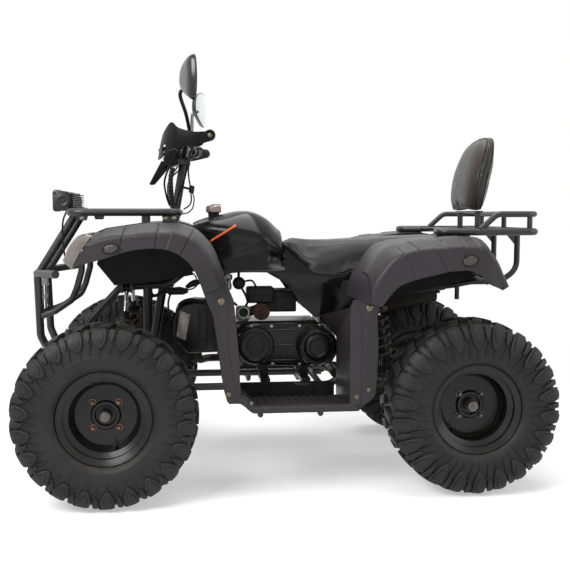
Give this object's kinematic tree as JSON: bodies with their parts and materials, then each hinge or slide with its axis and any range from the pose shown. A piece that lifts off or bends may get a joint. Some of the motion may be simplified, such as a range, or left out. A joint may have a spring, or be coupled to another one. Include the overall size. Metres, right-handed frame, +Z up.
{
  "type": "quad bike",
  "caption": "Utility quad bike with lugged tyres, tube carriers front and rear, a two-up seat with a backrest, handlebar steering and a chain-driven solid rear axle.",
  "frame": {"origin": "on the ground under the middle of the bike's box", "axes": "+Z up, front towards -X, rider's left towards -Y"},
  "size_m": [1.708, 1.064, 1.369],
  "materials": {
    "tube_steel": "satin",
    "rack_paint": "satin",
    "bronze_spring": "satin",
    "engine_alloy": "matte",
    "engine_black": "matte",
    "exhaust_black": "matte",
    "chain_steel": "satin",
    "vinyl": "satin",
    "gloss_black": "gloss",
    "grey_moulding": "matte",
    "lamp_lens": "gloss",
    "amber_lens": "gloss",
    "grip_rubber": "matte",
    "rim_black": "satin",
    "tyre": "matte"
  },
  "bodies": {
    "chassis": {"frame": "tube_steel", "front_arms": "tube_steel", "swingarm": "tube_steel", "footrest_stays": "tube_steel", "front_rack": "rack_paint", "front_bumper": "rack_paint", "rear_rack": "rack_paint", "hitch_plate": "tube_steel", "front_shocks": "bronze_spring", "rear_shock": "bronze_spring", "engine_case": "engine_alloy", "cylinder": "engine_alloy", "drive_cover": "engine_black", "intake": "engine_black", "exhaust": "exhaust_black", "drive_chain": "chain_steel", "seat": "vinyl", "backrest": "vinyl", "tank_cover": "gloss_black", "side_panels": "gloss_black", "filler_cap": "engine_black", "front_fenders": "grey_moulding", "rear_fenders": "grey_moulding", "foot_guard_left": "grey_moulding", "foot_guard_right": "grey_moulding", "front_cowl": "gloss_black", "inner_panels": "grey_moulding", "headlights": "lamp_lens", "lamps": "amber_lens", "lamp_bar": "engine_black"},
    "steering": {"steering_column": "tube_steel", "handlebar": "tube_steel", "grips": "grip_rubber", "controls": "engine_black", "hand_guards": "grey_moulding", "meter_cowl": "grey_moulding", "mirrors": "engine_black"},
    "knuckle_l": {"knuckle_left": "tube_steel"},
    "knuckle_r": {"knuckle_right": "tube_steel"},
    "rod_l": {"tie_rod_left": "tube_steel"},
    "rod_r": {"tie_rod_right": "tube_steel"},
    "front_wheel_l": {"front_rim_left": "rim_black", "front_tyre_left": "tyre"},
    "front_wheel_r": {"front_rim_right": "rim_black", "front_tyre_right": "tyre"},
    "rear_wheels": {"rear_axle": "chain_steel", "rear_rims": "rim_black", "rear_tyre_left": "tyre", "rear_tyre_right": "tyre"}
  },
  "joints": [
    {"name": "steer", "type": "hinge", "parent": "chassis", "child": "steering", "pos_m": [-0.464, 0, 0.335], "axis": [0.1736, 0, 0.9848], "range_deg": [-30, 30]},
    {"name": "kingpin_left", "type": "hinge", "parent": "chassis", "child": "knuckle_l", "pos_m": [-0.572, -0.385, 0.282], "axis": [0, 0, 1], "range_deg": [-30, 30]},
    {"name": "kingpin_right", "type": "hinge", "parent": "chassis", "child": "knuckle_r", "pos_m": [-0.572, 0.385, 0.282], "axis": [0, 0, 1], "range_deg": [-30, 30]},
    {"name": "rod_pin_left", "type": "hinge", "parent": "steering", "child": "rod_l", "pos_m": [-0.52958, -0.014, 0.33742], "axis": [0.1736, 0, 0.9848], "range_deg": [-30, 30]},
    {"name": "rod_pin_right", "type": "hinge", "parent": "steering", "child": "rod_r", "pos_m": [-0.52958, 0.014, 0.33742], "axis": [0.1736, 0, 0.9848], "range_deg": [-30, 30]},
    {"name": "front_spin_left", "type": "hinge", "parent": "knuckle_l", "child": "front_wheel_l", "pos_m": [-0.572, -0.444, 0.282], "axis": [0, 1, 0], "continuous": true},
    {"name": "front_spin_right", "type": "hinge", "parent": "knuckle_r", "child": "front_wheel_r", "pos_m": [-0.572, 0.444, 0.282], "axis": [0, 1, 0], "continuous": true},
    {"name": "rear_spin", "type": "hinge", "parent": "chassis", "child": "rear_wheels", "pos_m": [0.576, 0, 0.278], "axis": [0, 1, 0], "continuous": true}
  ],
  "couplings": [
    {"joint": "kingpin_left", "follows": "steer", "ratio": 1},
    {"joint": "kingpin_right", "follows": "steer", "ratio": 1},
    {"joint": "rod_pin_left", "follows": "steer", "ratio": -1},
    {"joint": "rod_pin_right", "follows": "steer", "ratio": -1}
  ]
}
